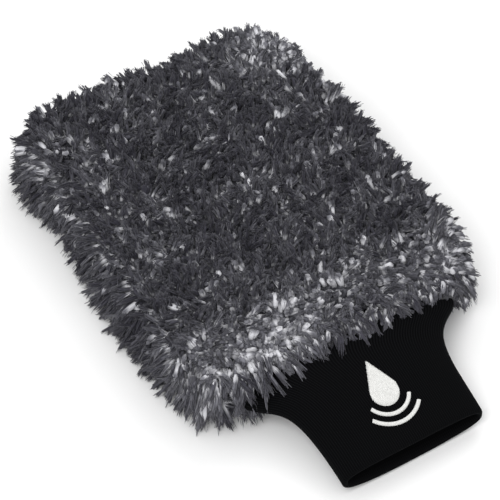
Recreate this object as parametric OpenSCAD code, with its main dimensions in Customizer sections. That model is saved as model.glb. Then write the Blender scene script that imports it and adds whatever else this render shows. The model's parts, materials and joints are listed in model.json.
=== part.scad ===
// Plush wash mitt with a rib-knit wrist cuff, lying on its palm.
// X is the width, Y runs from the cuff mouth (-Y) to the fingertips (+Y), Z is up.
// The origin is the bottom centre of the whole mitt.

/* [Body] */
// Width of the body over the pile
body_w = 205; // [190:1:230]
// Length of the body over the pile
body_l = 276; // [250:1:310]
// Thickness of the body over the pile
body_t = 54; // [50:1:58]
// Length of the pile, from its backing to its tips
pile_h = 18.5; // [15:0.5:19]
// Corner radius of the pile in plan
corner_r = 30; // [26:1:40]
// Rounding of the pile's upper edge
back_edge_r = 18; // [10:1:22]
// Rounding of the pile's lower edge
palm_edge_r = 11; // [8:1:16]

/* [Fabric] */
// Thickness of the knit backing that holds the pile
ground_t = 1.5; // [1:0.1:2]
// Thickness of the lining cloth
liner_t = 1; // [0.6:0.1:1.2]
// Room at the sides for the turned-in seam allowances
allowance_w = 3; // [2.5:0.1:4]
// Height of the overlocked edge of the side seam
overlock_h = 4; // [3:0.5:5]

/* [Cuff] */
// Length of the cuff from its joining seam to its mouth
cuff_l = 84; // [70:1:95]
// Width of the cuff, laid flat, at its mouth
cuff_w = 100; // [92:1:112]
// Width of the cuff, laid flat, at its joining seam
cuff_root_w = 160; // [150:1:160]
// Distance from the seam at which half of that extra width is gone
cuff_neck_at = 19; // [14:1:24]
// Height of the cuff at its joining seam
cuff_root_h = 17; // [16:0.5:17.5]
// Height of the cuff at its mouth
cuff_mouth_h = 19.6; // [16:0.2:20]
// Thickness of one layer of rib knit
knit_t = 1.6; // [1:0.1:1.8]
// How far the mouth sags below the joining seam
cuff_sag = 16.5; // [0:0.5:17]
// How far the cuff bends up from where it lies
bend_up = 45; // [20:1:50]
// How far the cuff bends down from where it lies
bend_down = 30; // [10:1:40]

/* [Embroidery] */
// Diameter of the motif's field
motif_d = 44; // [30:1:46]
// Distance of the motif's centre from the joining seam
motif_at = 48; // [40:1:54]
// Width of a ripple's line of stitches
ripple_w = 2.4; // [1.6:0.1:3]
// Height of the satin stitches above the knit
stitch_h = 0.8; // [0.4:0.1:1.2]
// Thickness of the stabiliser behind the stitches
backing_t = 0.4; // [0.2:0.1:0.6]

/* [Hidden] */
$fn = 64;

// Places along Y and Z
fringe = 16;                                  // pile that hangs past the joining seam
total_l = body_l + cuff_l - fringe;
tip_y = total_l / 2;
root_y = -total_l / 2 + cuff_l;               // the joining seam, where the cuff bends
body_mid_y = tip_y - body_l / 2;
mid_z = body_t / 2;

// The fabric envelope inside the pile
shell_w = body_w - 2 * pile_h;
shell_h = body_t - 2 * pile_h;
shell_tip_y = tip_y - pile_h;
shell_r = corner_r - pile_h;
liner_in = ground_t + allowance_w;            // the lining's sides, in from the backing's outside
seam_split = 1.2;                             // the part of the allowance that the lining's seam takes
join_bead_t = 1.2;                            // the joining seam's overlocked edge

// The cuff's bending clearance
root_r = 10;                                  // the cuff's root ends on this radius about its bend
clear = 0.4;
root_clear_w = cuff_root_w + 2 * clear;
sag_slope = 17;                               // the steepest slope of the sagging cuff, in degrees
reach = 60;

// Mesh density of the swept cuff
end_steps = 8;
rings = 14;
knit_gap = backing_t;
facing_at = knit_t + knit_gap;
turn = knit_t + knit_gap + knit_t;

// The motif's proportions, as shares of its field, and its ripples' half angles
drop_r_share = 0.21;
drop_tip_share = 0.52;
drop_steps = 40;
ripple_r_shares = [0.36, 0.5];
ripple_half_angles = [62, 50];
stabiliser_margin = 3;

PILE = "#4b4b54";
PILE_PALM = "#45454e";
GROUND = "#2c2c31";
LINER = "#1d1d20";
THREAD = "#26262a";
KNIT = "#101113";
KNIT_IN = "#0c0c0e";
WHITE = "#ecebe6";
STABILISER = "#d9d8d2";

// A rectangle with round corners, lying on one end line
module round_rect(w, y0, y1, r) {
    translate([-w / 2 + r, y0]) square([w - 2 * r, y1 - y0]);
    translate([-w / 2, y0 + r]) square([w, y1 - y0 - 2 * r]);
    for (x = [-w / 2 + r, w / 2 - r], y = [y0 + r, y1 - r]) translate([x, y]) circle(r);
}

// A rectangle whose far end only has round corners
module pocket_outline(w, y0, y1, r) {
    translate([-w / 2, y0]) square([w, y1 - y0 - r]);
    translate([-w / 2 + r, y0]) square([w - 2 * r, y1 - y0]);
    for (x = [-w / 2 + r, w / 2 - r]) translate([x, y1 - r]) circle(r);
}

// Half the section of a slab of height h and half width a, whose upper edge is rounded
module edge_profile(a, h, e) {
    square([a - e, h]);
    square([a, h - e]);
    intersection() {
        translate([a - e, h - e]) circle(e);
        square([a, h]);
    }
}

// A slab with round corners in plan and a rounded upper edge
module pillow_half(w, l, r, h, e) {
    cx = w / 2 - r;
    cy = l / 2 - r;
    for (x = [-cx, cx], y = [-cy, cy]) translate([x, y, 0]) rotate_extrude() edge_profile(r, h, e);
    for (s = [0, 180]) rotate([0, 0, s]) {
        translate([0, cy, 0]) rotate([90, 0, 0]) linear_extrude(2 * cy) edge_profile(w / 2, h, e);
        translate([-cx, 0, 0]) rotate([90, 0, 90]) linear_extrude(2 * cx) edge_profile(l / 2, h, e);
    }
}

// The room that the bending cuff sweeps, seen from the side and drawn across X
module cuff_room() {
    up = bend_up;
    down = bend_down + sag_slope;
    off = cuff_root_h / 2 + clear;
    points = [
        [off * sin(up), off * cos(up)],
        [off * sin(up) - reach * cos(up), off * cos(up) + reach * sin(up)],
        [-2 * reach, 0],
        [off * sin(down) - reach * cos(down), -off * cos(down) - reach * sin(down)],
        [off * sin(down), -off * cos(down)]
    ];
    translate([-root_clear_w / 2, root_y, mid_z]) rotate([90, 0, 90]) {
        linear_extrude(root_clear_w) polygon(points);
        cylinder(h = root_clear_w, r = root_r + clear);
    }
}

// A half tray: the panel and its turned-down sides, above the middle plane
module half_tray(w, tip, r, h, t) {
    difference() {
        linear_extrude(h) pocket_outline(w, root_y, tip, r);
        translate([0, 0, -t]) linear_extrude(h) pocket_outline(w - 2 * t, root_y - 1, tip - t, r - t);
    }
}

// One pile half: a slab around the fabric envelope
module pile_half(e) {
    difference() {
        translate([0, body_mid_y, 0]) pillow_half(body_w, body_l, corner_r, mid_z, e);
        translate([0, 0, -1]) linear_extrude(shell_h / 2 + 1)
            pocket_outline(shell_w, tip_y - body_l - 1, shell_tip_y, shell_r);
    }
}

module upper() {
    difference() {
        translate([0, 0, mid_z]) children();
        cuff_room();
    }
}

module lower() {
    difference() {
        translate([0, 0, mid_z]) mirror([0, 0, 1]) children();
        cuff_room();
    }
}

module back_pile() {
    color(PILE) upper() pile_half(back_edge_r);
}

module palm_pile() {
    color(PILE_PALM) lower() pile_half(palm_edge_r);
}

module ground_half() {
    half_tray(shell_w, shell_tip_y, shell_r, shell_h / 2, ground_t);
}

module liner_half() {
    half_tray(shell_w - 2 * liner_in, shell_tip_y - liner_in, shell_r - liner_in, shell_h / 2 - ground_t, liner_t);
}

module back_ground() {
    color(GROUND) upper() ground_half();
}

module palm_ground() {
    color(GROUND) lower() ground_half();
}

module back_liner() {
    color(LINER) upper() liner_half();
}

module palm_liner() {
    color(LINER) lower() liner_half();
}

// A bead of overlocked edge round the two sides and the fingertips
module seam_bead(outer_in, inner_in, h) {
    start = root_y + root_r + clear;
    translate([0, 0, mid_z - h / 2]) linear_extrude(h) difference() {
        pocket_outline(shell_w - 2 * outer_in, start, shell_tip_y - outer_in, shell_r - outer_in);
        pocket_outline(shell_w - 2 * inner_in, start - 1, shell_tip_y - inner_in, shell_r - inner_in);
    }
}

module side_seam() {
    color(THREAD) seam_bead(ground_t, liner_in - seam_split, overlock_h);
}

module liner_seam() {
    color(THREAD) seam_bead(liner_in - seam_split, liner_in, overlock_h / 2);
}

// The cuff's half width, half height and sag at a distance u from its joining seam
function extra_w(u) = (cuff_root_w - cuff_w) / 2 / (1 + pow(max(u, 0) / cuff_neck_at, 3));
function half_w(u) = cuff_w / 2 + extra_w(u);
function half_h(u) = (cuff_root_h + (cuff_mouth_h - cuff_root_h) * max(u, 0) / cuff_l) / 2;
function sag(u) = cuff_sag * pow(max(u, 0) / cuff_l, 2) * (1.5 - 0.5 * max(u, 0) / cuff_l);

// Section of the flattened tube at depth d below its surface: two round ends joined by flats
function end_arc(w, h, side) = [
    for (i = [0:end_steps])
        let (a = side * (90 - 180 * i / end_steps))
            [side * (w - h + h * cos(a)), h * sin(a)]
];
function section(w, h) = concat(end_arc(w, h, 1), end_arc(w, h, -1));
function place(p, u) = [p[0], root_y - u, mid_z - sag(u) + p[1]];
function ring(u, d) = [for (p = section(half_w(u) - d, half_h(u) - d)) place(p, u)];

// The root's ring lies on the bend's radius
function root_ring(d) = [
    for (p = section(half_w(0) - d, half_h(0) - d)) place(p, -sqrt(root_r * root_r - p[1] * p[1]))
];

// Every layer has its rings at the same places, so that touching layers share their facets
ring_step = cuff_l / rings;
function stations(u_end) = concat([for (i = [0:rings - 1]) i * ring_step], [u_end]);

// A closed tube wall between two depths, from the root through the given stations
module tube_wall(d_out, d_in, us) {
    loops = concat(
        [root_ring(d_out)],
        [for (u = us) ring(u, d_out)],
        [for (i = [len(us) - 1:-1:0]) ring(us[i], d_in)],
        [root_ring(d_in)]
    );
    n = len(loops[0]);
    m = len(loops);
    polyhedron(
        points = [for (loop = loops) each loop],
        faces = [
            for (j = [0:m - 1], i = [0:n - 1])
                let (k = (j + 1) % m, l = (i + 1) % n)
                    each [
                        [j * n + i, j * n + l, k * n + l],
                        [j * n + i, k * n + l, k * n + i]
                    ]
        ]
    );
}

// Outer layer, with the turn at the mouth where it becomes the inner layer
module cuff_shell() {
    color(KNIT) union() {
        tube_wall(0, knit_t, stations(cuff_l));
        intersection() {
            tube_wall(knit_t / 2, turn, stations(cuff_l));
            translate([-cuff_w, root_y - cuff_l - 1, 0]) cube([2 * cuff_w, knit_t + 1, body_t]);
        }
    }
}

module cuff_facing() {
    color(KNIT_IN) tube_wall(facing_at, turn, stations(cuff_l - knit_t));
}

// Overlocked edge inside the cuff's root, where cuff, backing and lining are sewn together
module cuff_join_seam() {
    color(THREAD) tube_wall(turn, turn + join_bead_t, [0, ring_step]);
}

// A thin skin of the cuff, cut to what the children cover
module on_cuff(d_out, d_in) {
    intersection() {
        tube_wall(d_out, d_in, stations(cuff_l));
        translate([0, root_y - motif_at, mid_z - sag(motif_at)]) linear_extrude(body_t) children();
    }
}

module drop_outline() {
    r = motif_d * drop_r_share;
    tip = motif_d * drop_tip_share;
    tangent = asin(r / tip);
    polygon(concat([[0, tip]], [
        for (i = [0:drop_steps])
            let (a = 180 - tangent + (180 + 2 * tangent) * i / drop_steps)
                [r * cos(a), r * sin(a)]
    ]));
}

// Two arcs of satin stitch under the drop
module ripple(r, w, half_angle) {
    intersection() {
        difference() {
            circle(r);
            circle(r - w);
        }
        polygon([[0, 0], [-2 * r * sin(half_angle), -2 * r * cos(half_angle)],
                 [0, -3 * r], [2 * r * sin(half_angle), -2 * r * cos(half_angle)]]);
    }
}

module emblem_backing() {
    color(STABILISER) on_cuff(knit_t, knit_t + backing_t) circle(motif_d / 2 + stabiliser_margin);
}

module emblem_drop() {
    color(WHITE) on_cuff(-stitch_h, 0) drop_outline();
}

module emblem_ripples() {
    color(WHITE) on_cuff(-stitch_h, 0) for (i = [0:len(ripple_r_shares) - 1])
        ripple(motif_d * ripple_r_shares[i], ripple_w, ripple_half_angles[i]);
}

back_pile();
palm_pile();
back_ground();
palm_ground();
back_liner();
palm_liner();
side_seam();
liner_seam();
cuff_join_seam();
cuff_shell();
cuff_facing();
emblem_backing();
emblem_drop();
emblem_ripples();
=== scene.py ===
import json
import math

import bpy
import numpy as np
from mathutils import Matrix, Vector, noise
from mathutils.kdtree import KDTree


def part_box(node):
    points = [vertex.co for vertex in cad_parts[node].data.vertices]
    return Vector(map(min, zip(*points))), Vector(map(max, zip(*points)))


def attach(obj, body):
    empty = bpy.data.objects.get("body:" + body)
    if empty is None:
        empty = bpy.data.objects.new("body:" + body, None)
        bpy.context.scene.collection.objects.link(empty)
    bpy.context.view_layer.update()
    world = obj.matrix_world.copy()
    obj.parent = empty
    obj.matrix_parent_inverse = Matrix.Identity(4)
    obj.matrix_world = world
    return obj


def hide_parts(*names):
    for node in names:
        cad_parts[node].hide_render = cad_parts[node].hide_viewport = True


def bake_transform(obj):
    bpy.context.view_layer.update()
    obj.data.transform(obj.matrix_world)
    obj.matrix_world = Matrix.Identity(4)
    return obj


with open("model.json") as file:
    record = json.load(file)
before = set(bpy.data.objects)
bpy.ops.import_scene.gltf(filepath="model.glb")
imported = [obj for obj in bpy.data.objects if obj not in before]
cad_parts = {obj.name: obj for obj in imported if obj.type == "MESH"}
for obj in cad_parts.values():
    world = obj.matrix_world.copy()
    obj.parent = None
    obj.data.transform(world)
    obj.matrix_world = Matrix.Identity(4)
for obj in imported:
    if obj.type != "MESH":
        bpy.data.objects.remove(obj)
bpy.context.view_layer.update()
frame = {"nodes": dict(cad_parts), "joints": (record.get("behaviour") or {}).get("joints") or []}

mm = 0.001
cadNodes = {name: bpy.data.objects[name] for name in frame["nodes"]}
print("frame loaded:", len(cadNodes), "nodes")

_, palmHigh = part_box("palm_pile")
_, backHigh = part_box("back_pile")
_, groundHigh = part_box("back_ground")
_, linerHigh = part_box("back_liner")
cuffLow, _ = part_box("cuff_shell")
bendAt = Vector(frame["joints"][0]["pos_m"])  # the joining seam, where the cuff bends
mitt = {
    "halfWidth": palmHigh.x,
    "tipY": palmHigh.y,
    "top": backHigh.z,
    "seamY": bendAt.y,
    "middle": bendAt.z,
    "pocketHalfWidth": groundHigh.x,
    "pocketTipY": groundHigh.y,
    "pocketHalfHeight": groundHigh.z - bendAt.z,
    "cuffLength": (bendAt.y - cuffLow.y) / mm,
}


def smooth(low, high, x):
    t = np.clip((x - low) / (high - low), 0, 1)
    return t * t * (3 - 2 * t)


def unit(v):
    return v / np.maximum(np.linalg.norm(v, axis=-1, keepdims=True), 1e-12)


def activate(ob):
    bpy.ops.object.select_all(action="DESELECT")
    ob.select_set(True)
    bpy.context.view_layer.objects.active = ob


def applyPlace(ob):
    activate(ob)
    bpy.ops.object.transform_apply(location=True, rotation=True, scale=True)


def applyModifiers(ob):
    activate(ob)
    for modifier in list(ob.modifiers):
        bpy.ops.object.modifier_apply(modifier=modifier.name)


def newest(name):
    ob = bpy.context.active_object
    ob.name = ob.data.name = name
    return ob


def readVerts(mesh):
    co = np.empty(len(mesh.vertices) * 3)
    mesh.vertices.foreach_get("co", co)
    return co.reshape(-1, 3)


def writeVerts(mesh, co):
    mesh.vertices.foreach_set("co", np.asarray(co, float).ravel())
    mesh.update()


def dress(ob, material, slotName, *nodes):
    ob.data.materials.clear()
    ob.data.materials.append(material)
    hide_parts(*nodes)


def bendWithCuff(ob):
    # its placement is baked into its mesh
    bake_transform(ob)


def editWhole():
    bpy.ops.object.mode_set(mode="EDIT")
    bpy.ops.mesh.select_all(action="SELECT")


def turnOutwards():
    bpy.ops.mesh.normals_make_consistent(inside=False)
    bpy.ops.object.mode_set(mode="OBJECT")


def linkNew(name, mesh):
    ob = bpy.data.objects.new(name, mesh)
    bpy.context.scene.collection.objects.link(ob)
    activate(ob)
    return ob


def noiseAt(points, scale, offset=0.0):
    return np.array([noise.noise(Vector(p) / scale + Vector((offset, 0, 0))) for p in points])


def newGroup(name, inputs, outputs):
    group = bpy.data.node_groups.new(name, "ShaderNodeTree")
    for label, kind, value in inputs:
        socket = group.interface.new_socket(label, in_out="INPUT", socket_type="NodeSocket" + kind)
        socket.default_value = value
    for label, kind in outputs:
        group.interface.new_socket(label, in_out="OUTPUT", socket_type="NodeSocket" + kind)
    return group, group.nodes.new("NodeGroupInput"), group.nodes.new("NodeGroupOutput")


def feed(tree, socket, value):
    if isinstance(value, bpy.types.NodeSocket):
        tree.links.new(value, socket)
    else:
        socket.default_value = value


def mathNode(tree, operation, *values):
    node = tree.nodes.new("ShaderNodeMath")
    node.operation = operation
    for socket, value in zip(node.inputs, values):
        feed(tree, socket, value)
    return node.outputs[0]


def mixColours(tree, factor, a, b, blendType="MIX"):
    node = tree.nodes.new("ShaderNodeMix")
    node.data_type, node.blend_type = "RGBA", blendType
    for socket, value in zip((node.inputs[0], node.inputs[6], node.inputs[7]), (factor, a, b)):
        feed(tree, socket, value)
    return node.outputs[2]


def ramp(tree, value, low, high, toLow=0.0, toHigh=1.0):
    node = tree.nodes.new("ShaderNodeMapRange")
    node.interpolation_type = "SMOOTHSTEP"
    for socket, item in zip(node.inputs, (value, low, high, toLow, toHigh)):
        feed(tree, socket, item)
    return node.outputs[0]


def splitVector(tree, vector):
    node = tree.nodes.new("ShaderNodeSeparateXYZ")
    tree.links.new(vector, node.inputs[0])
    return node.outputs


def noiseTexture(tree, vector, scale, detail=2.0):
    node = tree.nodes.new("ShaderNodeTexNoise")
    node.inputs["Scale"].default_value = scale
    node.inputs["Detail"].default_value = detail
    tree.links.new(vector, node.inputs["Vector"])
    return node.outputs["Fac"]


def makeYarnGroup():
    # yarn is pale from its root and dark at its tip; shade says how far up the pale part reaches
    group, inside, outside = newGroup(
        "twoToneYarn",
        [
            ("Shade", "Float", 0.3),
            ("Along", "Float", 0.5),
            ("Dark", "Color", (0.02, 0.02, 0.026, 1)),
            ("Grey", "Color", (0.1, 0.1, 0.11, 1)),
            ("Pale", "Color", (0.5, 0.5, 0.52, 1)),
            ("Blur", "Float", 0.16),
        ],
        [("Color", "Color")],
    )
    shade, along, blur = (inside.outputs[name] for name in ("Shade", "Along", "Blur"))
    reach = mathNode(group, "MULTIPLY_ADD", shade, 0.8, 0.18)
    atTip = ramp(group, along, mathNode(group, "SUBTRACT", reach, blur), mathNode(group, "ADD", reach, blur))
    tip = mixColours(group, ramp(group, shade, 0.05, 0.75), inside.outputs["Dark"], inside.outputs["Grey"])
    colour = mixColours(group, atTip, inside.outputs["Pale"], tip)
    # neighbouring strands differ a little, and the root is darkened with painted shade
    wave = mathNode(group, "SINE", mathNode(group, "MULTIPLY", shade, 190.0))
    strand = mathNode(group, "MULTIPLY_ADD", wave, 0.25, 0.95)
    depth = ramp(group, along, 0.0, 0.3, 0.35, 1.0)
    colour = mixColours(group, 1.0, colour, mathNode(group, "MULTIPLY", strand, depth), "MULTIPLY")
    group.links.new(colour, outside.inputs["Color"])
    return group


def makeKnitGroup():
    # X of the map counts ribs round the cuff, Y counts courses along it
    group, inside, outside = newGroup(
        "ribKnit",
        [
            ("Map", "Vector", (0, 0, 0)),
            ("Ribs", "Float", 148.0),
            ("Courses", "Float", 130.0),
            ("Painted Valley Shade", "Color", (0.0012, 0.0012, 0.0015, 1)),
            ("Painted Ridge Light", "Color", (0.0036, 0.0038, 0.0044, 1)),
        ],
        [("Color", "Color"), ("Height", "Float"), ("Roughness", "Float")],
    )
    mapX, mapY, _ = splitVector(group, inside.outputs["Map"])
    rib = mathNode(group, "PINGPONG", mathNode(group, "MULTIPLY", mapX, inside.outputs["Ribs"]), 0.5)
    ridge = ramp(group, rib, 0.42, 0.05)
    # each course is a row of Vs, so it leans with the distance from the rib's middle
    lean = mathNode(group, "MULTIPLY", rib, 1.2)
    course = mathNode(group, "MULTIPLY_ADD", mapY, inside.outputs["Courses"], lean)
    loop = ramp(group, mathNode(group, "PINGPONG", course, 0.5), 0.0, 0.4)
    height = mathNode(group, "MULTIPLY_ADD", loop, 0.3, mathNode(group, "MULTIPLY", ridge, 0.7))
    # painted light on the rib ridges and painted shade in the valleys between them
    yarn = mixColours(group, ridge, inside.outputs["Painted Valley Shade"], inside.outputs["Painted Ridge Light"])
    # painted shade in the gaps between the loops of each course
    yarn = mixColours(group, 1.0, yarn, mathNode(group, "MULTIPLY_ADD", loop, 0.5, 0.6), "MULTIPLY")
    group.links.new(yarn, outside.inputs["Color"])
    group.links.new(height, outside.inputs["Height"])
    group.links.new(mathNode(group, "MULTIPLY_ADD", height, -0.15, 0.95), outside.inputs["Roughness"])
    return group


def newClothGroup(name, countName, count, shadedHollow=(0.01, 0.01, 0.01), lit=(0.04, 0.04, 0.045)):
    # every cloth has a count of what repeats in it, a colour with painted shade for its hollows and a lit
    # colour for its tops
    inputs = [("Vector", "Vector", (0, 0, 0)), (countName, "Float", count)]
    inputs += [("Shaded Hollow", "Color", (*shadedHollow, 1)), ("Lit", "Color", (*lit, 1))]
    return newGroup(name, inputs, [("Color", "Color"), ("Height", "Float")])


def sendCloth(group, inside, outside, mask, height):
    # the mask paints shade into the hollows and light onto the tops
    colour = mixColours(group, mask, inside.outputs["Shaded Hollow"], inside.outputs["Lit"])
    group.links.new(colour, outside.inputs["Color"])
    group.links.new(height, outside.inputs["Height"])
    return group


def makeThreadGroup():
    # fine slanting plies, with painted shade between them and an uneven painted sheen on them
    group, inside, outside = newClothGroup("twistedThread", "Plies", 1400.0, (0.3,) * 3, (0.85, 0.85, 0.82))
    wave = group.nodes.new("ShaderNodeTexWave")
    wave.bands_direction = "DIAGONAL"
    wave.inputs["Distortion"].default_value = 0.6
    group.links.new(inside.outputs["Vector"], wave.inputs["Vector"])
    group.links.new(inside.outputs["Plies"], wave.inputs["Scale"])
    height = ramp(group, wave.outputs["Fac"], 0.1, 0.8)
    sheenSpeckle = ramp(group, noiseTexture(group, inside.outputs["Vector"], 420.0), 0.25, 0.6, 0.6, 1.0)
    return sendCloth(group, inside, outside, mathNode(group, "MULTIPLY", height, sheenSpeckle), height)


def makeWeaveGroup():
    # over-and-under yarns along X and Y, with the cloth's own unevenness; painted shade between the yarns and
    # painted light on them
    group, inside, outside = newClothGroup("plainWeave", "Yarns", 1500.0)
    vectorX, vectorY, _ = splitVector(group, inside.outputs["Vector"])
    yarns = inside.outputs["Yarns"]
    warp = mathNode(group, "PINGPONG", mathNode(group, "MULTIPLY", vectorX, yarns), 0.5)
    weft = mathNode(group, "PINGPONG", mathNode(group, "MULTIPLY", vectorY, yarns), 0.5)
    height = mathNode(group, "ADD", warp, weft)
    patch = ramp(group, noiseTexture(group, inside.outputs["Vector"], 90.0, 3.0), 0.2, 0.7, 0.5, 1.0)
    return sendCloth(group, inside, outside, mathNode(group, "MULTIPLY", height, patch), height)


def makeMattedGroup():
    # short fibres matted together: soft blotches with finer ones inside them, partly the fibres' own pale and
    # dark, partly painted shade in the bump's hollows
    group, inside, outside = newClothGroup("mattedFibre", "Blotches", 300.0)
    noisy = group.nodes.new("ShaderNodeTexNoise")
    noisy.inputs["Detail"].default_value = 4.0
    noisy.inputs["Distortion"].default_value = 1.5
    group.links.new(inside.outputs["Vector"], noisy.inputs["Vector"])
    group.links.new(inside.outputs["Blotches"], noisy.inputs["Scale"])
    height = ramp(group, noisy.outputs["Fac"], 0.35, 0.7)
    return sendCloth(group, inside, outside, height, height)


def newMaterial(name, **shader):
    material = bpy.data.materials.new(name)
    material.use_nodes = True
    bsdf = material.node_tree.nodes["Principled BSDF"]
    for key, value in shader.items():
        bsdf.inputs[key.replace("_", " ")].default_value = value
    return material, material.node_tree, bsdf


def placeGroup(tree, group, colours=None, **values):
    node = tree.nodes.new("ShaderNodeGroup")
    node.node_tree = group
    for key, value in (colours or {}).items():
        node.inputs[key].default_value = (*value, 1)
    for key, value in values.items():
        node.inputs[key].default_value = value
    return node


def addBump(tree, bsdf, height, strength, distance):
    bump = tree.nodes.new("ShaderNodeBump")
    bump.inputs["Strength"].default_value = strength
    bump.inputs["Distance"].default_value = distance
    tree.links.new(height, bump.inputs["Height"])
    tree.links.new(bump.outputs["Normal"], bsdf.inputs["Normal"])


def wovenMap(tree):
    node = tree.nodes.new("ShaderNodeUVMap")
    node.uv_map = "OFBake"
    return node.outputs[0]


def yarnMaterial(name, dark, grey, pale, blur):
    material, tree, bsdf = newMaterial(name, Roughness=0.75, Sheen_Weight=0.1, Sheen_Roughness=0.5,
                                       Specular_IOR_Level=0.2)
    shade, along, _ = splitVector(tree, wovenMap(tree))
    yarn = placeGroup(tree, yarnGroup, {"Dark": dark, "Grey": grey, "Pale": pale}, Blur=blur)
    tree.links.new(shade, yarn.inputs["Shade"])
    tree.links.new(along, yarn.inputs["Along"])
    tree.links.new(yarn.outputs["Color"], bsdf.inputs["Base Color"])
    return material


def knitMaterial(name, ribs, courses):
    material, tree, bsdf = newMaterial(name, Sheen_Weight=0.01, Sheen_Roughness=0.4, Specular_IOR_Level=0.04)
    bsdf.inputs["Sheen Tint"].default_value = (0.6, 0.65, 0.75, 1)
    knit = placeGroup(tree, knitGroup, Ribs=ribs, Courses=courses)
    tree.links.new(wovenMap(tree), knit.inputs["Map"])
    tree.links.new(knit.outputs["Color"], bsdf.inputs["Base Color"])
    tree.links.new(knit.outputs["Roughness"], bsdf.inputs["Roughness"])
    addBump(tree, bsdf, knit.outputs["Height"], 0.5, 0.0003)
    return material


def clothMaterial(name, group, shadedHollow, lit, roughness, bumpDepth, sheen=0.1, **values):
    material, tree, bsdf = newMaterial(name, Roughness=roughness, Sheen_Weight=sheen)
    place = tree.nodes.new("ShaderNodeTexCoord")
    cloth = placeGroup(tree, group, {"Shaded Hollow": shadedHollow, "Lit": lit}, **values)
    tree.links.new(place.outputs["Object"], cloth.inputs["Vector"])
    tree.links.new(cloth.outputs["Color"], bsdf.inputs["Base Color"])
    addBump(tree, bsdf, cloth.outputs["Height"], 0.6, bumpDepth)
    return material


yarnGroup, knitGroup, threadGroup = makeYarnGroup(), makeKnitGroup(), makeThreadGroup()
weaveGroup, mattedGroup = makeWeaveGroup(), makeMattedGroup()
plush = yarnMaterial("plushPile", (0.03, 0.029, 0.04), (0.15, 0.15, 0.17), (0.6, 0.6, 0.63), 0.15)
underFluff = clothMaterial("underFluff", mattedGroup, (0.018, 0.018, 0.024), (0.15, 0.15, 0.17),
                           0.95, 0.0006, Blotches=330.0)
backingCloth = clothMaterial("backingCloth", weaveGroup, (0.01, 0.01, 0.012), (0.05, 0.05, 0.055),
                             0.9, 0.0003, Yarns=900.0)
liningCloth = clothMaterial("liningCloth", weaveGroup, (0.006, 0.006, 0.007), (0.03, 0.03, 0.034),
                            0.85, 0.0002, Yarns=1600.0)
overlockThread = clothMaterial("overlockThread", threadGroup, (0.01, 0.01, 0.012), (0.06, 0.06, 0.065),
                               0.6, 0.0003, Plies=900.0)
stiffFelt = clothMaterial("stiffFelt", weaveGroup, (0.4, 0.4, 0.38), (0.7, 0.7, 0.67),
                          0.9, 0.0002, Yarns=700.0)
satinThread = clothMaterial("satinThread", threadGroup, (0.62, 0.62, 0.6), (0.9, 0.9, 0.88),
                            0.42, 0.0001, 0.2, Plies=2200.0)
print("materials made")

# the springy mass of yarn that the tufts stand out of
fluff = {
    "sideGap": 5.0,
    "tipGap": 8.5,
    "frontGap": 1.5,
    "floorGap": 4.5,
    "topGap": 9.5,
    "cornerRadius": 30.0,
    "frontRadius": 13.0,
    "edgeRadius": 10.0,
    "voxel": 5.0,
    "pressure": 4.0,
    "frames": 20,
    "mostMove": 5.0,
    "lump": 1.6,
    "lumpSizes": (0.036, 0.014),
    "thinFrom": 28.0,
    "thinning": 0.34,
    "narrowing": 0.08,
    "pocketGap": 0.4,
}


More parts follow.
